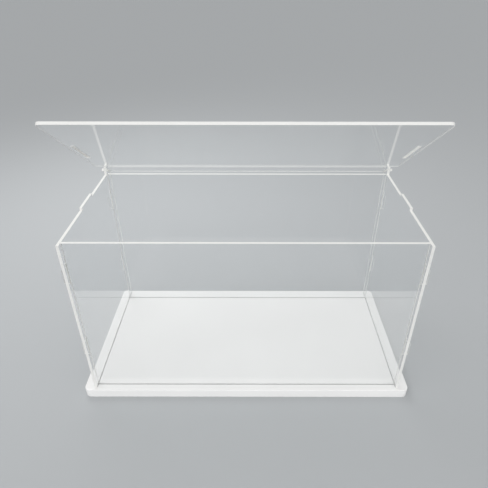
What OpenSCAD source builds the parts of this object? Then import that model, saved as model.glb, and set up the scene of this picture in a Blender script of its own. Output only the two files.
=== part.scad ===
// Hinged display case: four clear walls that lock together with corner tabs, a white
// base with grooves for the walls, and a clear lid that turns on its own two lugs.
// Origin: centre of the base's underside. +X right, +Y to the hinge side, +Z up.

/* [Clear sheet] */
// Thickness of the sheet that the walls and the lid are cut from
sheet_t = 3; // [2:0.5:5]
// Play on each side of a sheet in a slot or groove, and at the walls' upright joints
slot_play = 0.1; // [0.05:0.05:0.3]

/* [Walls] */
// Width over the outer faces of the two side panels
case_w = 360; // [240:1:480]
// Front to back length of a side panel
case_d = 182; // [150:1:280]
// Height of the walls above the top of the base
wall_h = 200; // [150:1:300]
// Side panel left standing in front of the front panel
front_margin = 4.5; // [3:0.5:12]
// Side panel left standing behind the back panel
rear_margin = 11.5; // [10:0.5:20]

/* [Corner tabs] */
// Height of a corner tab
corner_tab_h = 25; // [12:1:30]
// How far a corner tab's end stands proud of the side panel's outer face
corner_tab_proud = 3.6; // [0:0.2:5]
// Height of the slanted lead-in at the top of a corner tab
corner_tab_lead = 8; // [2:0.5:11]
// Drop from the walls' top edge to the upper corner tabs
upper_tab_drop = 24; // [15:0.5:35]
// Rise from the top of the base to the lower corner tabs
lower_tab_rise = 51; // [10:1:60]

/* [Lid tabs] */
// Length of the tab on a side panel's top edge that locates the closed lid
top_tab_len = 35; // [20:1:60]
// Place of that tab, forward of the middle of the side panel
top_tab_forward = 2; // [-10:0.5:10]
// Play at the tab's rear end in its slot in the lid
top_tab_rear_play = 5; // [1:0.5:8]
// Play at the tab's front end in its slot in the lid
top_tab_front_play = 7; // [1:0.5:10]
// Play on each side of the tab in its slot in the lid
top_tab_side_play = 0.25; // [0.15:0.05:0.4]

/* [Hinge] */
// Length of the ear that carries the hinge, along the side panel's top edge
ear_len = 15; // [13:0.5:20]
// Height of the ear above the side panel's top edge
ear_h = 13; // [9:0.5:16]
// Radius of the ear's two top corners
ear_corner_r = 6; // [2:0.5:6]
// Hinge axis, forward of the side panel's rear edge
hinge_inset = 4.6; // [4.4:0.1:7]
// Width of a lid lug, measured along the lid
lug_w = 4; // [3:0.5:5]
// Radial play of the lug's corners in the ear's hole
lug_play = 0.05; // [0.02:0.01:0.1]
// Gap between the ear's inner face and the lid's notch
ear_gap = 1; // [0.5:0.25:3]

/* [Lid] */
// Lid past the outer face of each side panel
lid_side_overhang = 5.5; // [3:0.5:10]
// Lid past the front edge of the side panels when it is closed
lid_front_overhang = 3; // [0:0.5:10]
// Radius of the lid's two front corners
lid_corner_r = 5; // [1:0.5:15]
// Distance from the hinge axis to the front end of the notch
lid_notch_reach = 26; // [20:0.5:40]
// Gap under the closed lid
lid_seat_gap = 0.2; // [0.1:0.05:0.5]
// Angle at which the lid is drawn open
lid_open = 36; // [0:1:180]

/* [Base] */
// Thickness of the base
base_t = 12; // [8:0.5:20]
// Base past the outer face of each side panel
base_side_border = 12; // [4:0.5:30]
// Base past the front and rear edges of the side panels
base_end_border = 4; // [2:0.5:30]
// Radius of the base's corners
base_corner_r = 6.5; // [3:0.5:20]
// Depth of the grooves that hold the walls
groove_depth = 3; // [1:0.5:5]

/* [Hidden] */
$fn = 64;

clear_sheet = [0.86, 0.90, 0.92, 0.35];
base_white = [0.93, 0.93, 0.92];

inner_w = case_w - 2 * sheet_t;
front_panel_y = -case_d / 2 + front_margin;
back_panel_y = case_d / 2 - rear_margin - sheet_t;
wall_foot_z = base_t - groove_depth;
wall_top_z = base_t + wall_h;
sheet_slot_w = sheet_t + 2 * slot_play;

upper_tab_z = wall_top_z - upper_tab_drop - corner_tab_h;
lower_tab_z = base_t + lower_tab_rise;
corner_tab_reach = case_w / 2 + corner_tab_proud;

hinge_y = case_d / 2 - hinge_inset;
hinge_z = wall_top_z + lid_seat_gap + sheet_t / 2;
lug_r = norm([sheet_t, lug_w]) / 2;
lid_w = case_w + 2 * lid_side_overhang;
lid_reach = hinge_y + case_d / 2 + lid_front_overhang;
lid_notch_d = lid_side_overhang + sheet_t + ear_gap;

// Rectangle centred on X from the line y = 0 upwards, with its two upper corners rounded
module round_topped(w, h, r) {
    translate([-w / 2, 0]) square([w, h - r]);
    translate([r - w / 2, 0]) square([w - 2 * r, h]);
    for (side = [-1, 1])
        translate([side * (w / 2 - r), h - r]) circle(r);
}

// Flat profile (Y, Z) made into an upright sheet whose outer or inner face is at x
module upright_side_sheet(x) {
    translate([x, 0, 0]) rotate([90, 0, 90]) linear_extrude(sheet_t) children();
}

// Flat profile (X, Z) made into an upright sheet whose front face is at y
module upright_cross_sheet(y) {
    translate([0, y + sheet_t, 0]) rotate([90, 0, 0]) linear_extrude(sheet_t) children();
}

// Corner tab on the +X edge of the front or back panel: square foot, slanted top
module corner_tab(z) {
    root = inner_w / 2 - sheet_t;
    edge = inner_w / 2 - slot_play;
    polygon([
        [root, z],
        [corner_tab_reach, z],
        [corner_tab_reach, z + corner_tab_h - corner_tab_lead],
        [edge, z + corner_tab_h],
        [root, z + corner_tab_h]
    ]);
}

module cross_panel_profile() {
    translate([slot_play - inner_w / 2, wall_foot_z])
        square([inner_w - 2 * slot_play, groove_depth + wall_h]);
    for (side = [0, 1])
        mirror([side, 0])
            for (z = [lower_tab_z, upper_tab_z])
                corner_tab(z);
}

// Slots in a side panel for the tabs of one cross panel whose front face is at y
module corner_slots(y) {
    for (z = [lower_tab_z, upper_tab_z])
        translate([y - slot_play, z - slot_play])
            square([sheet_slot_w, corner_tab_h + 2 * slot_play]);
}

module ear_profile() {
    translate([case_d / 2 - ear_len / 2, wall_top_z - ear_corner_r])
        round_topped(ear_len, ear_h + ear_corner_r, ear_corner_r);
}

module side_panel_profile() {
    difference() {
        union() {
            translate([-case_d / 2, wall_foot_z]) square([case_d, groove_depth + wall_h]);
            translate([-top_tab_forward - top_tab_len / 2, wall_top_z - sheet_t])
                square([top_tab_len, 2 * sheet_t]);
            ear_profile();
        }
        corner_slots(front_panel_y);
        corner_slots(back_panel_y);
        translate([hinge_y, hinge_z]) circle(lug_r + lug_play);
    }
}

// Outline of the lid with the hinge axis on y = 0 and the free edge on the -Y side
module lid_profile() {
    slot_l = top_tab_len + top_tab_rear_play + top_tab_front_play;
    slot_w = sheet_t + 2 * top_tab_side_play;
    slot_y = -top_tab_forward - hinge_y + (top_tab_rear_play - top_tab_front_play) / 2;
    difference() {
        translate([0, lug_w / 2]) mirror([0, 1])
            round_topped(lid_w, lid_reach + lug_w / 2, lid_corner_r);
        for (side = [-1, 1]) {
            translate([side * (lid_w - lid_notch_d) / 2, -(lid_notch_reach + lug_w / 2) / 2])
                square([lid_notch_d, lid_notch_reach - lug_w / 2], center = true);
            translate([side * (case_w - sheet_t) / 2, slot_y])
                square([slot_w, slot_l], center = true);
        }
    }
}

module base() {
    base_w = case_w + 2 * base_side_border;
    base_d = case_d + 2 * base_end_border;
    color(base_white)
    difference() {
        linear_extrude(base_t)
            for (turn = [0, 1])
                mirror([0, turn]) round_topped(base_w, base_d / 2, base_corner_r);
        for (side = [-1, 1])
            translate([side * (case_w - sheet_t) / 2, 0, base_t])
                cube([sheet_slot_w, case_d + 2 * slot_play, 2 * groove_depth], center = true);
        for (y = [front_panel_y, back_panel_y])
            translate([0, y + sheet_t / 2, base_t])
                cube([inner_w, sheet_slot_w, 2 * groove_depth], center = true);
    }
}

module front_panel() {
    color(clear_sheet) upright_cross_sheet(front_panel_y) cross_panel_profile();
}

module back_panel() {
    color(clear_sheet) upright_cross_sheet(back_panel_y) cross_panel_profile();
}

module left_side_panel() {
    color(clear_sheet) upright_side_sheet(-case_w / 2) side_panel_profile();
}

module right_side_panel() {
    color(clear_sheet) upright_side_sheet(case_w / 2 - sheet_t) side_panel_profile();
}

module lid() {
    color(clear_sheet)
    translate([0, hinge_y, hinge_z])
        rotate([-lid_open, 0, 0])
            linear_extrude(sheet_t, center = true) lid_profile();
}

base();
front_panel();
back_panel();
left_side_panel();
right_side_panel();
lid();
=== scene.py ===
"""Display case: clear laser-cut walls and lid on a satin white base.

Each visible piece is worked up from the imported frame: its sheet faces are clear, its cut
edges are frosted, and its rims are eased by a fine bevel.
"""

import math

import bmesh
import bpy
from mathutils import Matrix, Vector


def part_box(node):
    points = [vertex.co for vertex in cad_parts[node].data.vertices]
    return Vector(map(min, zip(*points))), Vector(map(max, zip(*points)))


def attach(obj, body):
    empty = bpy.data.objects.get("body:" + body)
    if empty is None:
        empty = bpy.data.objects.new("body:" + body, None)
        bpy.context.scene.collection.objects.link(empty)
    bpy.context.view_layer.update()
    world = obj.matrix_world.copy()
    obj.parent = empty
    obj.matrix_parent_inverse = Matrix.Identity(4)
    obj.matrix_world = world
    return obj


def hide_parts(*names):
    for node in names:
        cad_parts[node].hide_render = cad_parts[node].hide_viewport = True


bl_info = {
    "name": "Display Case",
    "version": (1, 0, 0),
    "blender": (4, 5, 0),
    "location": "3D View > Sidebar > Display Case",
    "description": "Dresses a hinged clear display case and sets its stage",
    "category": "Object",
}

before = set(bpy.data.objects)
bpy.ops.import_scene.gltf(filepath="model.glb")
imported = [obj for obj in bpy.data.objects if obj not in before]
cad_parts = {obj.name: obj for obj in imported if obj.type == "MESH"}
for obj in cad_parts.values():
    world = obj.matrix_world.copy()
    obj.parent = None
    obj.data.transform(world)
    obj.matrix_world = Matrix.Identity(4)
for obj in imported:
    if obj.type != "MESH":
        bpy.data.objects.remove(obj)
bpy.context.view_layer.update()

WALLS = {
    "front_panel": "front_wall",
    "back_panel": "back_wall",
    "left_side_panel": "left_wall",
    "right_side_panel": "right_wall",
}

# Meshes: lengths in metres, angles in radians
WELD = 1e-6  # corners closer than this are one corner
FLAT = math.radians(0.5)  # faces that turn less than this are one face
ALIGNED = 0.9999  # cosine above which a face looks straight along a direction
BASE_CREASE = math.radians(35)  # edges that turn more than this stay sharp
CUT_CREASE = math.radians(15)
FACET_LENGTH = 0.001  # cut faces shorter than this are facets of a curve
SHEET_RIM_SEGMENTS = 2
BASE_RIM_SEGMENTS = 4
FLOOR_SEGMENTS = 96

# Materials. A relief is the strength of the bump and its depth in metres, and a shade is the
# darker of a surface's two tones, as a share of its colour.
CUT_UV = "cut"
ACRYLIC_IOR = 1.49
SMEAR_ROUGHNESS = 0.035
SCRATCH_RELIEF = (0.02, 0.00002)
CUT_SHADE = 0.93
CUT_ROUGHNESS = (0.22, 0.5)
CUT_RELIEF = (0.4, 0.00006)
CUT_GRAIN_SHARE = 0.3  # height of the grain beside that of the beam's lines
BASE_IOR = 1.48
BASE_SHADE = 0.97
BASE_ROUGHNESS = (0.34, 0.44)
BASE_RELIEF = (0.12, 0.00004)
FLOOR_ROUGHNESS = 0.9
FLOOR_GLOSS = 0.1
WHITE = (1.0, 1.0, 1.0)

# Stage: each lamp hangs at its place and is aimed at the origin
LEFT_LAMP = (-0.5, -0.85, 0.38)
RIGHT_LAMP = (0.5, -0.85, 0.38)
REAR_LAMP = (-0.3, 0.42, 0.75)
IMAGE_PIXELS = 488
SENSOR_WIDTH = 36.0  # millimetres
NEAR_CLIP = 0.01


# ---------------------------------------------------------------- settings


class DisplayCaseSheetSettings(bpy.types.PropertyGroup):
    """Clear sheet of the walls and the lid"""

    rim_ease: bpy.props.FloatProperty(
        name="Rim ease",
        description="Width of the fine bevel where a sheet's faces meet its cut edge",
        default=0.00012,
        min=0.0,
        unit="LENGTH",
    )
    tint: bpy.props.FloatVectorProperty(
        name="Tint",
        description="Colour of the clear sheet",
        subtype="COLOR",
        size=3,
        min=0.0,
        max=1.0,
        default=(0.985, 0.99, 0.992),
    )
    passed_light: bpy.props.FloatVectorProperty(
        name="Passed light",
        description="Share of lamp light that each face of a sheet lets through",
        subtype="COLOR",
        size=3,
        min=0.0,
        max=1.0,
        default=(0.955, 0.96, 0.96),
    )
    edge_colour: bpy.props.FloatVectorProperty(
        name="Cut edge colour",
        description="Colour of the frosted cut edges",
        subtype="COLOR",
        size=3,
        min=0.0,
        max=1.0,
        default=(0.855, 0.855, 0.832),
    )


class DisplayCaseBaseSettings(bpy.types.PropertyGroup):
    """White base under the walls"""

    rim_radius: bpy.props.FloatProperty(
        name="Rim radius",
        description="Radius of the base's outer top and bottom rims",
        default=0.0007,
        min=0.0,
        unit="LENGTH",
    )
    colour: bpy.props.FloatVectorProperty(
        name="Colour",
        description="Colour of the base",
        subtype="COLOR",
        size=3,
        min=0.0,
        max=1.0,
        default=(0.9, 0.897, 0.89),
    )


class DisplayCaseStageSettings(bpy.types.PropertyGroup):
    """Floor, light and camera"""

    floor_colour: bpy.props.FloatVectorProperty(
        name="Floor colour",
        description="Colour of the floor and of the far background",
        subtype="COLOR",
        size=3,
        min=0.0,
        max=1.0,
        default=(0.462, 0.479, 0.491),
    )
    background: bpy.props.FloatVectorProperty(
        name="Background",
        description="Tone of the far background, matched to the lit floor",
        subtype="COLOR",
        size=3,
        min=0.0,
        max=1.0,
        default=(0.396, 0.412, 0.421),
    )
    left_power: bpy.props.FloatProperty(
        name="Left lamp",
        description="Strength of the broad lamp at the front left",
        default=1.3,
        min=0.0,
    )
    right_power: bpy.props.FloatProperty(
        name="Right lamp",
        description="Strength of the broad lamp at the front right",
        default=0.96,
        min=0.0,
    )
    broad_spread: bpy.props.FloatProperty(
        name="Broad lamp spread",
        description="Angle over which each broad lamp spreads",
        subtype="ANGLE",
        default=math.radians(90),
    )
    rear_power: bpy.props.FloatProperty(
        name="Rear lamp",
        description="Power of the round lamp above and behind the case",
        default=3.0,
        min=0.0,
        unit="POWER",
    )
    rear_size: bpy.props.FloatProperty(
        name="Rear lamp size",
        description="Diameter of the round lamp above and behind the case",
        default=0.7,
        min=0.0,
        unit="LENGTH",
    )
    even_light: bpy.props.FloatProperty(
        name="Even light",
        description="Strength of the light that comes from all round",
        default=0.52,
        min=0.0,
    )
    floor_radius: bpy.props.FloatProperty(
        name="Floor radius",
        description="Radius of the round floor",
        default=12.0,
        unit="LENGTH",
    )
    camera_place: bpy.props.FloatVectorProperty(
        name="Camera place",
        description="Where the camera stands",
        subtype="TRANSLATION",
        size=3,
        default=(0.0055, -0.4413, 0.4383),
    )
    camera_tilt: bpy.props.FloatProperty(
        name="Camera tilt",
        description="How far the camera looks down",
        subtype="ANGLE",
        default=math.radians(32.44),
    )
    camera_turn: bpy.props.FloatProperty(
        name="Camera turn",
        description="How far the camera is turned to its left",
        subtype="ANGLE",
        default=math.radians(0.04),
    )
    camera_roll: bpy.props.FloatProperty(
        name="Camera roll",
        description="How far the camera is rolled about its line of sight",
        subtype="ANGLE",
        default=math.radians(0.05),
    )
    focal_pixels: bpy.props.FloatProperty(
        name="Focal length in pixels",
        description="Focal length as a number of image pixels",
        default=441.1,
    )
    optical_centre: bpy.props.FloatVectorProperty(
        name="Optical centre",
        description="Image point on the line of sight, in pixels from the top left corner",
        size=2,
        default=(250.9, 243.0),
    )


# ---------------------------------------------------------------- shader tools


def put(tree, kind, **values):
    """Adds a node and sets its plain properties and, by socket name, its inputs."""
    node = tree.nodes.new(kind)
    for key, value in values.items():
        if hasattr(node, key):
            setattr(node, key, value)
        else:
            node.inputs[key.replace("_", " ")].default_value = value
    return node


def rgba(colour, share=1.0):
    """Opaque colour for a socket, as it is or darkened to a share of itself."""
    return (*[share * channel for channel in colour], 1.0)


def made_once(library, maker, *settings):
    """Has a material or node group made once, and hands the same one out after that."""
    for made in library:
        if made.get("made_by") == maker.__name__:
            return made
    made = maker(*settings)
    made["made_by"] = maker.__name__
    return made


def ramp(tree, source, low, high, to_low=0.0, to_high=1.0):
    """Maps a value from one span to another."""
    node = put(
        tree, "ShaderNodeMapRange", From_Min=low, From_Max=high, To_Min=to_low, To_Max=to_high
    )
    tree.links.new(source, node.inputs["Value"])
    return node.outputs["Result"]


def calculate(tree, operation, *terms):
    """Result of a math node. Each term is the output of another node or a plain number."""
    node = put(tree, "ShaderNodeMath", operation=operation)
    for socket, term in zip(node.inputs, terms):
        if isinstance(term, float):
            socket.default_value = term
        else:
            tree.links.new(term, socket)
    return node.outputs[0]


def two_tones(tree, skin, colour, shade, mask):
    """Colours the skin, fully where the mask is 1 and by its shade where the mask is 0."""
    tone = put(tree, "ShaderNodeMix", data_type="RGBA", A=rgba(colour, shade), B=rgba(colour))
    tree.links.new(mask, tone.inputs["Factor"])
    tree.links.new(tone.outputs["Result"], skin.inputs["Base Color"])


def relief(tree, skin, height, strength, depth):
    """Raises the skin by a height, as a bump."""
    bump = put(tree, "ShaderNodeBump", Strength=strength, Distance=depth)
    tree.links.new(height, bump.inputs["Height"])
    tree.links.new(bump.outputs["Normal"], skin.inputs["Normal"])


def switch(tree, rays, usual, special):
    """Shader that is the special one for the named kinds of ray, and else the usual one."""
    path = put(tree, "ShaderNodeLightPath")
    mask = path.outputs[rays[0]]
    for ray in rays[1:]:
        mask = calculate(tree, "MAXIMUM", mask, path.outputs[ray])
    mix = put(tree, "ShaderNodeMixShader")
    tree.links.new(mask, mix.inputs[0])
    tree.links.new(usual.outputs[0], mix.inputs[1])
    tree.links.new(special.outputs[0], mix.inputs[2])
    return mix


def cover(tree, shader, kind="ShaderNodeOutputMaterial"):
    """Makes a shader the surface of the tree's material or world."""
    tree.links.new(shader.outputs[0], put(tree, kind).inputs["Surface"])


def new_material(name):
    """Empty node material and its tree."""
    material = bpy.data.materials.new(name)
    material.use_nodes = True
    material.node_tree.nodes.clear()
    return material, material.node_tree


# ---------------------------------------------------------------- shared effects


def new_group(name, description, inputs, outputs):
    """Shader node group with named float inputs and outputs, and its two end nodes."""
    group = bpy.data.node_groups.new(name, "ShaderNodeTree")
    group.description = description
    for label, value in inputs.items():
        socket = group.interface.new_socket(label, in_out="INPUT", socket_type="NodeSocketFloat")
        socket.default_value = value
    for label in outputs:
        group.interface.new_socket(label, in_out="OUTPUT", socket_type="NodeSocketFloat")
    return group, group.nodes.new("NodeGroupInput"), group.nodes.new("NodeGroupOutput")


def handling_marks():
    """Makes the group of faint smears and hair scratches."""
    group, given, result = new_group(
        "Handling marks",
        "Faint cloudy smears and fine hair scratches, as wiped plastic shows them",
        {"Smear size": 12.0, "Scratch size": 90.0},
        ("Smear", "Scratch"),
    )
    link = group.links.new
    place = put(group, "ShaderNodeTexCoord")
    smear = put(group, "ShaderNodeTexNoise", Detail=3.0, Roughness=0.6)
    stretch = put(group, "ShaderNodeMapping", Scale=(1.0, 7.0, 7.0))
    hair = put(group, "ShaderNodeTexNoise", Detail=6.0, Roughness=0.75)
    link(place.outputs["Object"], smear.inputs["Vector"])
    link(given.outputs["Smear size"], smear.inputs["Scale"])
    link(place.outputs["Object"], stretch.inputs["Vector"])
    link(stretch.outputs["Vector"], hair.inputs["Vector"])
    link(given.outputs["Scratch size"], hair.inputs["Scale"])
    link(ramp(group, smear.outputs["Fac"], 0.35, 0.75), result.inputs["Smear"])
    link(ramp(group, hair.outputs["Fac"], 0.62, 0.75), result.inputs["Scratch"])
    return group


def fine_grain():
    """Makes the group of fine grain."""
    group, given, result = new_group(
        "Fine grain",
        "Small even grain in two sizes, for frosted edges and moulded plastic",
        {"Grain size": 900.0, "Cloud size": 25.0},
        ("Grain", "Cloud"),
    )
    link = group.links.new
    place = put(group, "ShaderNodeTexCoord")
    for size, label, detail in (("Grain size", "Grain", 2.0), ("Cloud size", "Cloud", 3.0)):
        noise = put(group, "ShaderNodeTexNoise", Detail=detail)
        link(place.outputs["Object"], noise.inputs["Vector"])
        link(given.outputs[size], noise.inputs["Scale"])
        link(noise.outputs["Fac"], result.inputs[label])
    return group


def effect(tree, maker, **values):
    """Places a shared node group in a material, with the material's own values."""
    group = made_once(bpy.data.node_groups, maker)
    return put(tree, "ShaderNodeGroup", node_tree=group, **values)


# ---------------------------------------------------------------- materials


def clear_sheet_material(settings):
    """Polished clear sheet. Lamps reach through it, so what it shelters is lit."""
    material, tree = new_material("clear_sheet")
    marks = effect(tree, handling_marks)
    skin = put(
        tree,
        "ShaderNodeBsdfPrincipled",
        Base_Color=rgba(settings.tint),
        IOR=ACRYLIC_IOR,
        Transmission_Weight=1.0,
    )
    smeared = ramp(tree, marks.outputs["Smear"], 0.0, 1.0, 0.0, SMEAR_ROUGHNESS)
    tree.links.new(smeared, skin.inputs["Roughness"])
    relief(tree, skin, marks.outputs["Scratch"], *SCRATCH_RELIEF)
    passed = put(tree, "ShaderNodeBsdfTransparent", Color=rgba(settings.passed_light))
    cover(tree, switch(tree, ("Is Shadow Ray", "Is Diffuse Ray"), skin, passed))
    return material


def cut_edge_material(settings):
    """Frosted white laser-cut edge, with the beam's fine lines across the sheet's thickness.

    The UV map runs along the cut in U and across the thickness in V, both in metres.
    """
    material, tree = new_material("cut_edge")
    link = tree.links.new
    grain = effect(tree, fine_grain, Grain_size=1600.0, Cloud_size=60.0)
    unrolled = put(tree, "ShaderNodeUVMap", uv_map=CUT_UV)
    stretch = put(tree, "ShaderNodeMapping", Scale=(1.0, 0.06, 1.0))
    lines = put(tree, "ShaderNodeTexNoise", Scale=3200.0, Detail=2.0, Roughness=0.6)
    link(unrolled.outputs["UV"], stretch.inputs["Vector"])
    link(stretch.outputs["Vector"], lines.inputs["Vector"])
    skin = put(tree, "ShaderNodeBsdfPrincipled", IOR=ACRYLIC_IOR)
    cloudy = ramp(tree, grain.outputs["Cloud"], 0.3, 0.6, 0.6, 1.0)
    lined = ramp(tree, lines.outputs["Fac"], 0.35, 0.6)
    frost = calculate(tree, "MULTIPLY", cloudy, lined)
    two_tones(tree, skin, settings.edge_colour, CUT_SHADE, frost)
    link(ramp(tree, lines.outputs["Fac"], 0.3, 0.7, *CUT_ROUGHNESS), skin.inputs["Roughness"])
    height = calculate(
        tree, "MULTIPLY_ADD", grain.outputs["Grain"], CUT_GRAIN_SHARE, lines.outputs["Fac"]
    )
    relief(tree, skin, height, *CUT_RELIEF)
    cover(tree, skin)
    return material


def white_base_material(settings):
    """Satin white board with a fine even grain."""
    material, tree = new_material("white_base")
    grain = effect(tree, fine_grain, Grain_size=1100.0, Cloud_size=9.0)
    skin = put(tree, "ShaderNodeBsdfPrincipled", IOR=BASE_IOR)
    cloudy = ramp(tree, grain.outputs["Cloud"], 0.35, 0.65)
    two_tones(tree, skin, settings.colour, BASE_SHADE, cloudy)
    satin = ramp(tree, grain.outputs["Grain"], 0.3, 0.7, *BASE_ROUGHNESS)
    tree.links.new(satin, skin.inputs["Roughness"])
    relief(tree, skin, grain.outputs["Grain"], *BASE_RELIEF)
    cover(tree, skin)
    return material


def pale_floor_material(settings):
    """Dull pale floor."""
    material, tree = new_material("pale_floor")
    skin = put(
        tree,
        "ShaderNodeBsdfPrincipled",
        Base_Color=rgba(settings.floor_colour),
        Roughness=FLOOR_ROUGHNESS,
        Specular_IOR_Level=FLOOR_GLOSS,
    )
    cover(tree, skin)
    return material


# ---------------------------------------------------------------- mesh tools


def solid_from_node(node):
    """A bmesh of a frame node, welded and with its flat faces joined up."""
    mesh = bmesh.new()
    mesh.from_mesh(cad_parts[node].data)
    bmesh.ops.remove_doubles(mesh, verts=mesh.verts, dist=WELD)
    bmesh.ops.dissolve_limit(mesh, angle_limit=FLAT, verts=mesh.verts, edges=mesh.edges)
    return mesh


def looks_along(face, direction):
    """True for a face that looks straight along a direction or straight back."""
    return abs(face.normal.dot(direction)) > ALIGNED


def sheet_normal(mesh):
    """Direction across a sheet: the normal of its largest face."""
    return max(mesh.faces, key=lambda face: face.calc_area()).normal.copy()


def on_base_outline(edge, thickness):
    """True for the top and bottom rims of the outer sides, which are as tall as the base."""
    sides = [face for face in edge.link_faces if not looks_along(face, Vector((0, 0, 1)))]
    if len(sides) != 1:
        return False
    heights = [vert.co.z for vert in sides[0].verts]
    return max(heights) - min(heights) > thickness - WELD


def ease(mesh, edges, width, segments):
    """Rounds edges off by a fine bevel, where its width isn't zero."""
    if width > 0:
        bmesh.ops.bevel(
            mesh,
            geom=edges,
            offset=width,
            offset_type="OFFSET",
            affect="EDGES",
            segments=segments,
            profile=0.5,
            material=-1,
            clamp_overlap=True,
        )
    mesh.normal_update()


def map_cut_edges(mesh, across):
    """Unrolls the cut edges: U runs along the cut and V across the sheet, in metres."""
    layer = mesh.loops.layers.uv.new(CUT_UV)
    for face in mesh.faces:
        if looks_along(face, across):
            continue
        along = across.cross(face.normal).normalized()
        for loop in face.loops:
            loop[layer].uv = (loop.vert.co.dot(along), loop.vert.co.dot(across))


def finish_piece(mesh, name, materials, body, node, rounded, crease):
    """Turns the bmesh into an object that rides on its body in place of its node.

    Only the rounded faces are shaded smooth, and only over edges that turn less than the
    crease, so the flat ones stay optically true. The normals that came with the node are
    dropped, because they don't fit the eased mesh.
    """
    data = bpy.data.meshes.new(name)
    smooth = [face in rounded for face in mesh.faces]
    mesh.to_mesh(data)
    mesh.free()
    carried = data.attributes.get("custom_normal")
    if carried is not None:
        data.attributes.remove(carried)
    for material in materials:
        data.materials.append(material)
    data.set_sharp_from_angle(angle=crease)
    data.polygons.foreach_set("use_smooth", smooth)
    piece = bpy.data.objects.new(name, data)
    bpy.context.scene.collection.objects.link(piece)
    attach(piece, body)
    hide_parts(node)


def make_sheet(node, name, body, settings):
    """Clear sheet with frosted cut edges, from one wall or lid of the frame."""
    mesh = solid_from_node(node)
    across = sheet_normal(mesh)
    rims = [
        edge
        for edge in mesh.edges
        if sum(looks_along(face, across) for face in edge.link_faces) == 1
    ]
    ease(mesh, rims, settings.rim_ease, SHEET_RIM_SEGMENTS)
    for face in mesh.faces:
        face.material_index = 0 if looks_along(face, across) else 1
    map_cut_edges(mesh, across)
    depths = [vert.co.dot(across) for vert in mesh.verts]
    facet_area = FACET_LENGTH * (max(depths) - min(depths))
    facets = {face for face in mesh.faces if face.calc_area() < facet_area}
    materials = [
        made_once(bpy.data.materials, maker, settings)
        for maker in (clear_sheet_material, cut_edge_material)
    ]
    finish_piece(mesh, name, materials, body, node, facets, CUT_CREASE)


# ---------------------------------------------------------------- operators


class DISPLAYCASE_OT_base(bpy.types.Operator):
    """Adds the satin white base with its eased rims"""

    bl_idname = "displaycase.base"
    bl_label = "White base"

    def execute(self, context):
        settings = context.scene.display_case_base
        mesh = solid_from_node("base")
        low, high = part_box("base")
        rims = [edge for edge in mesh.edges if on_base_outline(edge, high[2] - low[2])]
        ease(mesh, rims, settings.rim_radius, BASE_RIM_SEGMENTS)
        rounded = {face for face in mesh.faces if max(map(abs, face.normal)) < ALIGNED}
        materials = [made_once(bpy.data.materials, white_base_material, settings)]
        finish_piece(
            mesh, "white_base", materials, "case", "base", rounded, BASE_CREASE
        )
        return {"FINISHED"}


class DISPLAYCASE_OT_walls(bpy.types.Operator):
    """Adds the four clear walls"""

    bl_idname = "displaycase.walls"
    bl_label = "Clear walls"

    def execute(self, context):
        for node, name in WALLS.items():
            make_sheet(node, name, "case", context.scene.display_case_sheet)
        return {"FINISHED"}


class DISPLAYCASE_OT_lid(bpy.types.Operator):
    """Adds the clear lid, which rides on the hinge"""

    bl_idname = "displaycase.lid"
    bl_label = "Clear lid"

    def execute(self, context):
        make_sheet("lid", "clear_lid", "lid", context.scene.display_case_sheet)
        return {"FINISHED"}


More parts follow.
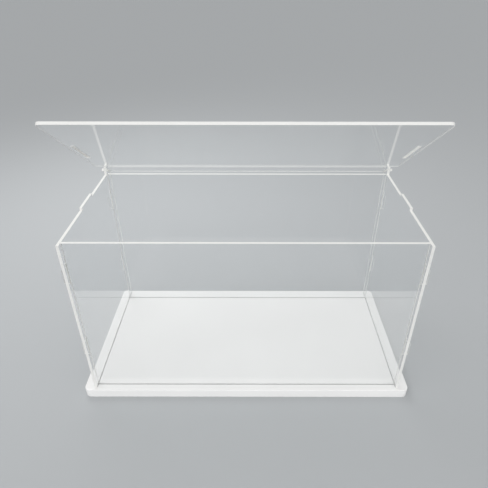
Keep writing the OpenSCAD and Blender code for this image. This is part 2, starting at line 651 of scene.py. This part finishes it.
class DISPLAYCASE_OT_stage(bpy.types.Operator):
    """Adds the pale floor, the soft lamps, the world and the camera"""

    bl_idname = "displaycase.stage"
    bl_label = "Stage"

    def execute(self, context):
        settings = context.scene.display_case_stage
        self.floor(context, settings)
        self.world(context, settings)
        self.broad_lamp(context, settings, "left_lamp", LEFT_LAMP, settings.left_power)
        self.broad_lamp(context, settings, "right_lamp", RIGHT_LAMP, settings.right_power)
        self.rear_lamp(context, settings)
        self.camera(context, settings)
        context.scene.view_settings.view_transform = "Standard"
        return {"FINISHED"}

    def floor(self, context, settings):
        """Wide round floor under the case."""
        mesh = bmesh.new()
        bmesh.ops.create_circle(
            mesh, cap_ends=True, segments=FLOOR_SEGMENTS, radius=settings.floor_radius
        )
        data = bpy.data.meshes.new("floor")
        mesh.to_mesh(data)
        mesh.free()
        data.materials.append(made_once(bpy.data.materials, pale_floor_material, settings))
        floor = bpy.data.objects.new("floor", data)
        context.scene.collection.objects.link(floor)

    def world(self, context, settings):
        """Even light all round, and the lit floor's tone where the background is seen."""
        world = bpy.data.worlds.new("studio")
        world.use_nodes = True
        tree = world.node_tree
        tree.nodes.clear()
        light = put(tree, "ShaderNodeBackground", Color=rgba(WHITE), Strength=settings.even_light)
        seen = put(tree, "ShaderNodeBackground", Color=rgba(settings.background), Strength=1.0)
        rays = ("Is Camera Ray", "Is Glossy Ray", "Is Transmission Ray")
        cover(tree, switch(tree, rays, light, seen), "ShaderNodeOutputWorld")
        context.scene.world = world

    def broad_lamp(self, context, settings, name, place, power):
        """Soft light that comes evenly from one direction."""
        data = bpy.data.lights.new(name, "SUN")
        data.angle = settings.broad_spread
        self.hang(context, data, place, power)

    def rear_lamp(self, context, settings):
        """Round soft lamp that shades the white base from back to front, unseen in the gloss."""
        data = bpy.data.lights.new("rear_lamp", "AREA")
        data.shape = "DISK"
        data.size = settings.rear_size
        self.hang(context, data, REAR_LAMP, settings.rear_power).visible_glossy = False

    def hang(self, context, data, place, power):
        """Aims a lamp at the origin. No lamp shows through the clear sheets."""
        data.energy = power
        lamp = bpy.data.objects.new(data.name, data)
        lamp.location = place
        lamp.rotation_euler = Vector(place).to_track_quat("Z", "Y").to_euler()
        lamp.visible_transmission = False
        context.scene.collection.objects.link(lamp)
        return lamp

    def camera(self, context, settings):
        """Camera whose line of sight meets the picture at the optical centre."""
        data = bpy.data.cameras.new("camera")
        data.sensor_width = SENSOR_WIDTH
        data.lens = settings.focal_pixels / IMAGE_PIXELS * data.sensor_width
        data.clip_start = NEAR_CLIP
        data.shift_x = 0.5 - settings.optical_centre[0] / IMAGE_PIXELS
        data.shift_y = settings.optical_centre[1] / IMAGE_PIXELS - 0.5
        camera = bpy.data.objects.new("camera", data)
        camera.matrix_world = (
            Matrix.Translation(settings.camera_place)
            @ Matrix.Rotation(settings.camera_turn, 4, "Z")
            @ Matrix.Rotation(math.pi / 2 - settings.camera_tilt, 4, "X")
            @ Matrix.Rotation(settings.camera_roll, 4, "Z")
        )
        context.scene.collection.objects.link(camera)
        bpy.context.scene.camera = camera


class DISPLAYCASE_PT_sidebar(bpy.types.Panel):
    """Lists the display case's pieces and settings"""

    bl_idname = "DISPLAYCASE_PT_sidebar"
    bl_label = "Display Case"
    bl_space_type = "VIEW_3D"
    bl_region_type = "UI"
    bl_category = "Display Case"

    def draw(self, context):
        for group in SETTINGS:
            settings = getattr(context.scene, group)
            for key in settings.__annotations__:
                self.layout.prop(settings, key)
        for operator in OPERATORS:
            self.layout.operator(operator.bl_idname)


SETTINGS = {
    "display_case_sheet": DisplayCaseSheetSettings,
    "display_case_base": DisplayCaseBaseSettings,
    "display_case_stage": DisplayCaseStageSettings,
}
OPERATORS = (
    DISPLAYCASE_OT_stage,
    DISPLAYCASE_OT_base,
    DISPLAYCASE_OT_walls,
    DISPLAYCASE_OT_lid,
)


def register():
    for name, group in SETTINGS.items():
        bpy.utils.register_class(group)
        setattr(bpy.types.Scene, name, bpy.props.PointerProperty(type=group))
    for operator in OPERATORS:
        bpy.utils.register_class(operator)
    bpy.utils.register_class(DISPLAYCASE_PT_sidebar)


def unregister():
    bpy.utils.unregister_class(DISPLAYCASE_PT_sidebar)
    for operator in reversed(OPERATORS):
        bpy.utils.unregister_class(operator)
    for name, group in reversed(SETTINGS.items()):
        delattr(bpy.types.Scene, name)
        bpy.utils.unregister_class(group)


def main():
    register()
    bpy.ops.displaycase.stage()
    bpy.ops.displaycase.base()
    bpy.ops.displaycase.walls()
    bpy.ops.displaycase.lid()


if __name__ == "__main__":
    main()
